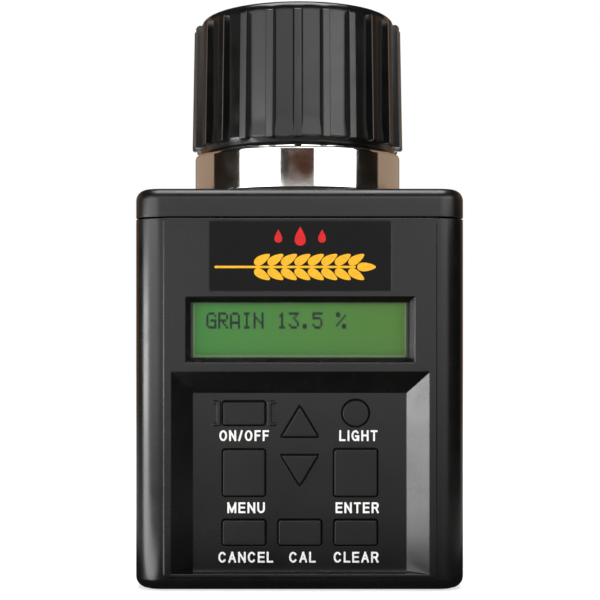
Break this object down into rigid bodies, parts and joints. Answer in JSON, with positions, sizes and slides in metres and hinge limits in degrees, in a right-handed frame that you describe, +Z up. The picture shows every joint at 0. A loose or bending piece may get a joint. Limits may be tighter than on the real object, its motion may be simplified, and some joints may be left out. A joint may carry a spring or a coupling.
{
  "type": "grain moisture meter",
  "caption": "Hand-held box with a keypad in a bevelled well, a character display, and a steel test cell on top under a ribbed screw cap with a sprung pressure plate.",
  "frame": {"origin": "middle of the flat base, at the height of the surface that the meter stands on", "axes": "+Z up along the test cell's axis; -Y towards the user, through the display and the keys; +X to the right as the user sees it"},
  "size_m": [0.099, 0.074, 0.1774],
  "materials": {
    "case_plastic": "satin, fine grain",
    "cap_plastic": "semi-gloss",
    "key_plastic": "matte",
    "mat_rubber": "matte",
    "cell_steel": "polished",
    "zinc": "zinc plated",
    "spring_steel": "drawn",
    "acetal": "satin",
    "gasket_rubber": "matte",
    "label_print": "satin",
    "clear_window": "clear",
    "lcd_glass": "smooth",
    "light_guide": "satin",
    "lcd_bezel": "black",
    "circuit_board": "solder mask",
    "component_black": "matte",
    "flex_strip": "satin",
    "battery_can": "satin",
    "snap_vinyl": "satin",
    "wire_red": "satin",
    "wire_black": "satin"
  },
  "bodies": {
    "case": {"front_shell": "case_plastic", "back_shell": "case_plastic", "top_cover": "case_plastic", "front_label": "label_print", "case_screw_1": "zinc", "case_screw_2": "zinc", "case_screw_3": "zinc", "case_screw_4": "zinc", "display_window": "clear_window", "lcd_frame": "lcd_bezel", "lcd_glass": "lcd_glass", "lcd_backlight": "light_guide", "display_board": "circuit_board", "display_screw_1": "zinc", "display_screw_2": "zinc", "display_screw_3": "zinc", "display_screw_4": "zinc", "display_ribbon": "flex_strip", "keypad_mat": "mat_rubber", "main_board": "circuit_board", "board_screw_1": "zinc", "board_screw_2": "zinc", "board_screw_3": "zinc", "board_screw_4": "zinc", "controller_chip": "component_black", "buzzer": "component_black", "cell_cup": "cell_steel", "cell_base": "acetal", "cell_gasket": "gasket_rubber", "cell_lock_ring": "zinc", "centre_electrode": "cell_steel", "electrode_lug": "zinc", "electrode_nut": "zinc", "electrode_lead": "wire_red", "temperature_probe": "cell_steel", "battery": "battery_can", "battery_snap": "snap_vinyl", "battery_lead_red": "wire_red", "battery_lead_black": "wire_black"},
    "cap_carrier": {"thrust_washer": "zinc", "pressure_spring": "spring_steel"},
    "cap": {"cap_shell": "cap_plastic"},
    "plunger": {"pressure_plate": "acetal", "indicator_pin": "cell_steel"},
    "battery_door": {"battery_door": "case_plastic"},
    "power_key": {"power_key": "key_plastic"},
    "light_key": {"light_key": "key_plastic"},
    "menu_key": {"menu_key": "key_plastic"},
    "enter_key": {"enter_key": "key_plastic"},
    "up_key": {"up_key": "key_plastic"},
    "down_key": {"down_key": "key_plastic"},
    "cancel_key": {"cancel_key": "key_plastic"},
    "calibrate_key": {"calibrate_key": "key_plastic"},
    "clear_key": {"clear_key": "key_plastic"}
  },
  "joints": [
    {"name": "cap_rise", "type": "slide", "parent": "case", "child": "cap_carrier", "axis": [0, 0, 1], "range_m": [0, 0.0481]},
    {"name": "cap_turn", "type": "hinge", "parent": "cap_carrier", "child": "cap", "pos_m": [0, 0, 0.155], "axis": [0, 0, 1], "range_deg": [0, 2880]},
    {"name": "plunger_press", "type": "slide", "parent": "cap_carrier", "child": "plunger", "axis": [0, 0, 1], "range_m": [0, 0.004], "stiffness_N_per_m": 4000, "springref_m": -0.004, "deforming": ["pressure_spring"]},
    {"name": "battery_door_hinge", "type": "hinge", "parent": "case", "child": "battery_door", "pos_m": [0, 0.037, 0.0152], "axis": [-1, 0, 0], "range_deg": [0, 80]},
    {"name": "power_key_press", "type": "slide", "parent": "case", "child": "power_key", "axis": [0, 1, 0], "range_m": [0, 0.001], "stiffness_N_per_m": 1500, "springref_m": -0.0005},
    {"name": "light_key_press", "type": "slide", "parent": "case", "child": "light_key", "axis": [0, 1, 0], "range_m": [0, 0.001], "stiffness_N_per_m": 1500, "springref_m": -0.0005},
    {"name": "menu_key_press", "type": "slide", "parent": "case", "child": "menu_key", "axis": [0, 1, 0], "range_m": [0, 0.001], "stiffness_N_per_m": 1500, "springref_m": -0.0005},
    {"name": "enter_key_press", "type": "slide", "parent": "case", "child": "enter_key", "axis": [0, 1, 0], "range_m": [0, 0.001], "stiffness_N_per_m": 1500, "springref_m": -0.0005},
    {"name": "up_key_press", "type": "slide", "parent": "case", "child": "up_key", "axis": [0, 1, 0], "range_m": [0, 0.001], "stiffness_N_per_m": 1500, "springref_m": -0.0005},
    {"name": "down_key_press", "type": "slide", "parent": "case", "child": "down_key", "axis": [0, 1, 0], "range_m": [0, 0.001], "stiffness_N_per_m": 1500, "springref_m": -0.0005},
    {"name": "cancel_key_press", "type": "slide", "parent": "case", "child": "cancel_key", "axis": [0, 1, 0], "range_m": [0, 0.001], "stiffness_N_per_m": 1500, "springref_m": -0.0005},
    {"name": "calibrate_key_press", "type": "slide", "parent": "case", "child": "calibrate_key", "axis": [0, 1, 0], "range_m": [0, 0.001], "stiffness_N_per_m": 1500, "springref_m": -0.0005},
    {"name": "clear_key_press", "type": "slide", "parent": "case", "child": "clear_key", "axis": [0, 1, 0], "range_m": [0, 0.001], "stiffness_N_per_m": 1500, "springref_m": -0.0005}
  ],
  "couplings": [
    {"joint": "cap_rise", "follows": "cap_turn", "m_per_rad": 0.00095493}
  ]
}
